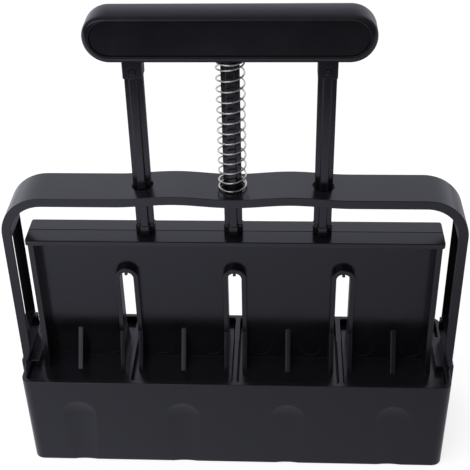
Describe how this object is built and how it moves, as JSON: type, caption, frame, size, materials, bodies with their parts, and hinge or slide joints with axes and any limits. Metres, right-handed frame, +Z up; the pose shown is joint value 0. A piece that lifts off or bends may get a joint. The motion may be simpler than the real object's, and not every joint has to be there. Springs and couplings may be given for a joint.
{
  "type": "hand soil blocker",
  "caption": "Hand tool that presses potting soil into square blocks: an open case of cells, a hoop that stands on it, and a sprung press with guide rods and a palm grip.",
  "frame": {"origin": "middle of the case's foot, on the surface it stands on", "axes": "+Z up, along the press's travel; +X along the row of cells, to the right of someone facing the grip's cover; +Y to the back, away from the grip's cover"},
  "size_m": [0.2176, 0.055, 0.2382],
  "materials": {
    "case_plastic": "black, polished mould finish",
    "hoop_plastic": "black, polished mould finish",
    "press_plastic": "black, polished mould finish",
    "rod_plastic": "black, polished mould finish",
    "grip_plastic": "black, polished mould finish",
    "spring_steel": "bright plated wire",
    "screw_steel": "plated"
  },
  "bodies": {
    "case": {"cell_case": "case_plastic", "hoop_frame": "hoop_plastic", "return_spring": "spring_steel"},
    "press": {"press_panel": "press_plastic", "left_rod": "rod_plastic", "centre_rod": "rod_plastic", "right_rod": "rod_plastic", "grip_body": "grip_plastic", "grip_cover": "grip_plastic", "grip_screws": "screw_steel", "seed_pin_1": "press_plastic", "seed_pin_2": "press_plastic", "seed_pin_3": "press_plastic", "seed_pin_4": "press_plastic"}
  },
  "joints": [
    {"name": "press_slide", "type": "slide", "parent": "case", "child": "press", "axis": [0, 0, 1], "range_m": [-0.0475, 0], "stiffness_N_per_m": 175, "springref_m": 0.02, "deforming": ["return_spring"]}
  ]
}
